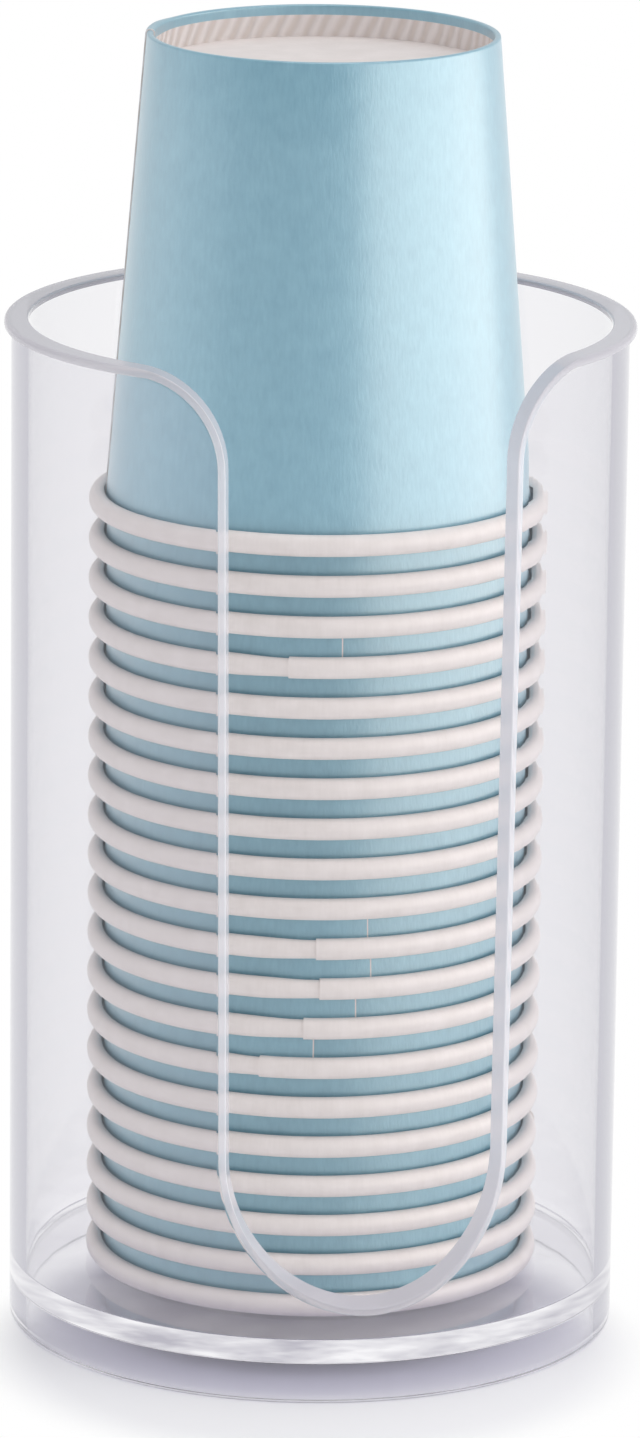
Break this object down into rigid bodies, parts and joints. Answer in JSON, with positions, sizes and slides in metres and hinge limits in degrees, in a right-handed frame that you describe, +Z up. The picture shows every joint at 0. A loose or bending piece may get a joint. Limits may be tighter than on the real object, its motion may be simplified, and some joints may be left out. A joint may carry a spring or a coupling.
{
  "type": "cup dispenser",
  "caption": "Clear round holder, open at the top, with a rounded finger slot down its front and a stack of nested paper cups standing mouth down inside.",
  "frame": {"origin": "centre of the holder's foot, on the surface that it stands on", "axes": "+Z up along the common axis of the holder and the cups, -Y out through the middle of the finger slot, +X to the right of someone who faces the slot"},
  "size_m": [0.0798, 0.0798, 0.1674],
  "materials": {
    "clear_plastic": "clear, polished, moulded styrene with a faint lilac tint at its edges",
    "blue_paper": "matt, coated, pale blue cup stock with a fine fibre grain",
    "white_paper": "matt, coated, off-white cup stock"
  },
  "bodies": {
    "holder": {"holder": "clear_plastic"},
    "cup_01": {"cup_01_wall": "blue_paper", "cup_01_bottom": "white_paper"},
    "cup_02": {"cup_02_wall": "blue_paper", "cup_02_bottom": "white_paper"},
    "cup_03": {"cup_03_wall": "blue_paper", "cup_03_bottom": "white_paper"},
    "cup_04": {"cup_04_wall": "blue_paper", "cup_04_bottom": "white_paper"},
    "cup_05": {"cup_05_wall": "blue_paper", "cup_05_bottom": "white_paper"},
    "cup_06": {"cup_06_wall": "blue_paper", "cup_06_bottom": "white_paper"},
    "cup_07": {"cup_07_wall": "blue_paper", "cup_07_bottom": "white_paper"},
    "cup_08": {"cup_08_wall": "blue_paper", "cup_08_bottom": "white_paper"},
    "cup_09": {"cup_09_wall": "blue_paper", "cup_09_bottom": "white_paper"},
    "cup_10": {"cup_10_wall": "blue_paper", "cup_10_bottom": "white_paper"},
    "cup_11": {"cup_11_wall": "blue_paper", "cup_11_bottom": "white_paper"},
    "cup_12": {"cup_12_wall": "blue_paper", "cup_12_bottom": "white_paper"},
    "cup_13": {"cup_13_wall": "blue_paper", "cup_13_bottom": "white_paper"},
    "cup_14": {"cup_14_wall": "blue_paper", "cup_14_bottom": "white_paper"},
    "cup_15": {"cup_15_wall": "blue_paper", "cup_15_bottom": "white_paper"},
    "cup_16": {"cup_16_wall": "blue_paper", "cup_16_bottom": "white_paper"},
    "cup_17": {"cup_17_wall": "blue_paper", "cup_17_bottom": "white_paper"},
    "cup_18": {"cup_18_wall": "blue_paper", "cup_18_bottom": "white_paper"},
    "cup_19": {"cup_19_wall": "blue_paper", "cup_19_bottom": "white_paper"},
    "cup_20": {"cup_20_wall": "blue_paper", "cup_20_bottom": "white_paper"}
  },
  "joints": [
    {"name": "cup_01_lift", "type": "slide", "parent": "holder", "child": "cup_01", "axis": [0, 0, 1], "range_m": [0, 0.1249]},
    {"name": "cup_02_lift", "type": "slide", "parent": "cup_01", "child": "cup_02", "axis": [0, 0, 1], "range_m": [0, 0.1197]},
    {"name": "cup_03_lift", "type": "slide", "parent": "cup_02", "child": "cup_03", "axis": [0, 0, 1], "range_m": [0, 0.1145]},
    {"name": "cup_04_lift", "type": "slide", "parent": "cup_03", "child": "cup_04", "axis": [0, 0, 1], "range_m": [0, 0.1093]},
    {"name": "cup_05_lift", "type": "slide", "parent": "cup_04", "child": "cup_05", "axis": [0, 0, 1], "range_m": [0, 0.1041]},
    {"name": "cup_06_lift", "type": "slide", "parent": "cup_05", "child": "cup_06", "axis": [0, 0, 1], "range_m": [0, 0.099]},
    {"name": "cup_07_lift", "type": "slide", "parent": "cup_06", "child": "cup_07", "axis": [0, 0, 1], "range_m": [0, 0.0938]},
    {"name": "cup_08_lift", "type": "slide", "parent": "cup_07", "child": "cup_08", "axis": [0, 0, 1], "range_m": [0, 0.0886]},
    {"name": "cup_09_lift", "type": "slide", "parent": "cup_08", "child": "cup_09", "axis": [0, 0, 1], "range_m": [0, 0.0834]},
    {"name": "cup_10_lift", "type": "slide", "parent": "cup_09", "child": "cup_10", "axis": [0, 0, 1], "range_m": [0, 0.0783]},
    {"name": "cup_11_lift", "type": "slide", "parent": "cup_10", "child": "cup_11", "axis": [0, 0, 1], "range_m": [0, 0.0731]},
    {"name": "cup_12_lift", "type": "slide", "parent": "cup_11", "child": "cup_12", "axis": [0, 0, 1], "range_m": [0, 0.0679]},
    {"name": "cup_13_lift", "type": "slide", "parent": "cup_12", "child": "cup_13", "axis": [0, 0, 1], "range_m": [0, 0.0627]},
    {"name": "cup_14_lift", "type": "slide", "parent": "cup_13", "child": "cup_14", "axis": [0, 0, 1], "range_m": [0, 0.0577]},
    {"name": "cup_15_lift", "type": "slide", "parent": "cup_14", "child": "cup_15", "axis": [0, 0, 1], "range_m": [0, 0.0577]},
    {"name": "cup_16_lift", "type": "slide", "parent": "cup_15", "child": "cup_16", "axis": [0, 0, 1], "range_m": [0, 0.0577]},
    {"name": "cup_17_lift", "type": "slide", "parent": "cup_16", "child": "cup_17", "axis": [0, 0, 1], "range_m": [0, 0.0577]},
    {"name": "cup_18_lift", "type": "slide", "parent": "cup_17", "child": "cup_18", "axis": [0, 0, 1], "range_m": [0, 0.0577]},
    {"name": "cup_19_lift", "type": "slide", "parent": "cup_18", "child": "cup_19", "axis": [0, 0, 1], "range_m": [0, 0.0577]},
    {"name": "cup_20_lift", "type": "slide", "parent": "cup_19", "child": "cup_20", "axis": [0, 0, 1], "range_m": [0, 0.0577]}
  ]
}
